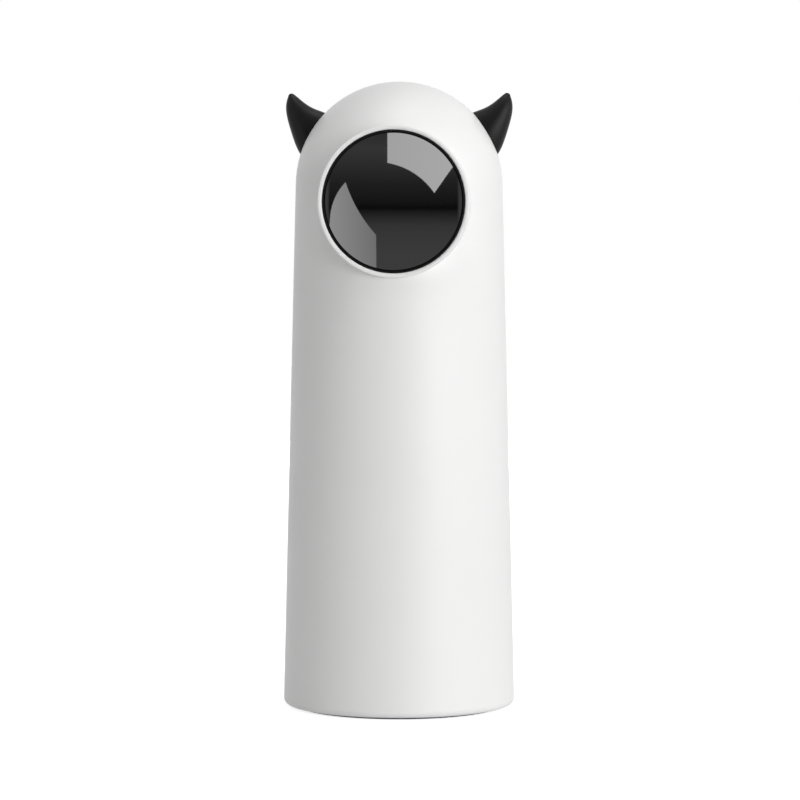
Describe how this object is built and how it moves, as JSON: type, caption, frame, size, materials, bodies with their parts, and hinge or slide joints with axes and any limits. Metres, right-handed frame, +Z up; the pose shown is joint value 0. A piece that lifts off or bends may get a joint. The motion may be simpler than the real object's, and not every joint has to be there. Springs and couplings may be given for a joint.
{
  "type": "automatic cat laser toy",
  "caption": "Free-standing tapered cylinder with a domed crown, two small horns and a round dark window, behind which a geared head pans and tilts a laser.",
  "frame": {"origin": "bottom centre, on the table under the sleeve's axis", "axes": "+Z up along the sleeve's axis, -Y out of the window, +X to the right of someone who faces the window"},
  "size_m": [0.0758, 0.0758, 0.2047],
  "materials": {
    "shell_white": "smooth satin moulding",
    "window_smoke": "polished, smoked nearly black",
    "bezel_black": "polished",
    "foam_black": "closed-cell foam",
    "horn_black": "satin moulding",
    "screw_steel": "zinc plated",
    "base_white": "fine texture",
    "pad_grey": "soft, matt",
    "frame_black": "fine texture",
    "cell_wrap": "shrink wrap",
    "wire_red": "soft wire insulation",
    "clamp_black": "fine texture",
    "board_green": "solder mask",
    "chip_black": "moulded",
    "socket_steel": "nickel plated",
    "tongue_black": "moulded",
    "switch_black": "moulded",
    "plunger_white": "moulded",
    "light_clear": "clear, frosted end",
    "button_white": "smooth satin moulding",
    "bush_brass": "turned",
    "yoke_grey": "satin moulding",
    "gear_white": "waxy, self-lubricating",
    "motor_steel": "drawn can",
    "shaft_steel": "ground",
    "cradle_black": "satin moulding",
    "barrel_brass": "turned",
    "lens_glass": "polished"
  },
  "bodies": {
    "housing": {"body_shell": "shell_white", "lens": "window_smoke", "lens_bezel": "bezel_black", "lens_gasket": "foam_black", "left_horn": "horn_black", "right_horn": "horn_black", "horn_screws": "screw_steel", "base_plate": "base_white", "foot_pad": "pad_grey", "base_screws": "screw_steel", "chassis": "frame_black", "chassis_screws": "screw_steel", "battery_cell": "cell_wrap", "battery_leads": "wire_red", "battery_clamp": "clamp_black", "clamp_screws": "screw_steel", "main_board": "board_green", "board_screws": "screw_steel", "board_components": "chip_black", "usb_port": "socket_steel", "usb_tongue": "tongue_black", "mode_switch": "switch_black", "light_pipe": "light_clear", "pan_bush": "bush_brass", "pan_motor": "motor_steel", "pan_motor_screws": "screw_steel", "pan_motor_leads": "wire_red"},
    "button": {"power_button": "button_white", "switch_plunger": "plunger_white"},
    "pan_drive": {"pan_motor_shaft": "shaft_steel", "pan_pinion": "gear_white"},
    "yoke": {"pan_yoke": "yoke_grey", "pan_clip": "shaft_steel", "pan_gear": "gear_white", "tilt_motor": "motor_steel", "tilt_motor_screws": "screw_steel"},
    "tilt_drive": {"tilt_motor_shaft": "shaft_steel", "tilt_pinion": "gear_white"},
    "laser": {"laser_cradle": "cradle_black", "cradle_pins": "shaft_steel", "tilt_gear": "gear_white", "laser_barrel": "barrel_brass", "laser_lens": "lens_glass", "laser_board": "board_green", "laser_screw": "screw_steel"}
  },
  "joints": [
    {"name": "button_press", "type": "slide", "parent": "housing", "child": "button", "axis": [0, -1, 0], "range_m": [0, 0.0006], "stiffness_N_per_m": 800},
    {"name": "pan", "type": "hinge", "parent": "housing", "child": "yoke", "pos_m": [0, 0, 0.14], "axis": [0, 0, 1], "range_deg": [-30, 30]},
    {"name": "pan_drive_spin", "type": "hinge", "parent": "housing", "child": "pan_drive", "pos_m": [0, -0.016, 0.135], "axis": [0, 0, 1], "range_deg": [-92, 92]},
    {"name": "tilt", "type": "hinge", "parent": "yoke", "child": "laser", "pos_m": [0, 0, 0.1648], "axis": [1, 0, 0], "range_deg": [-5, 30]},
    {"name": "tilt_drive_spin", "type": "hinge", "parent": "yoke", "child": "tilt_drive", "pos_m": [0, 0, 0.1516], "axis": [1, 0, 0], "range_deg": [-82, 15]}
  ],
  "couplings": [
    {"joint": "pan_drive_spin", "follows": "pan", "ratio": -3},
    {"joint": "tilt_drive_spin", "follows": "tilt", "ratio": -2.6667}
  ]
}
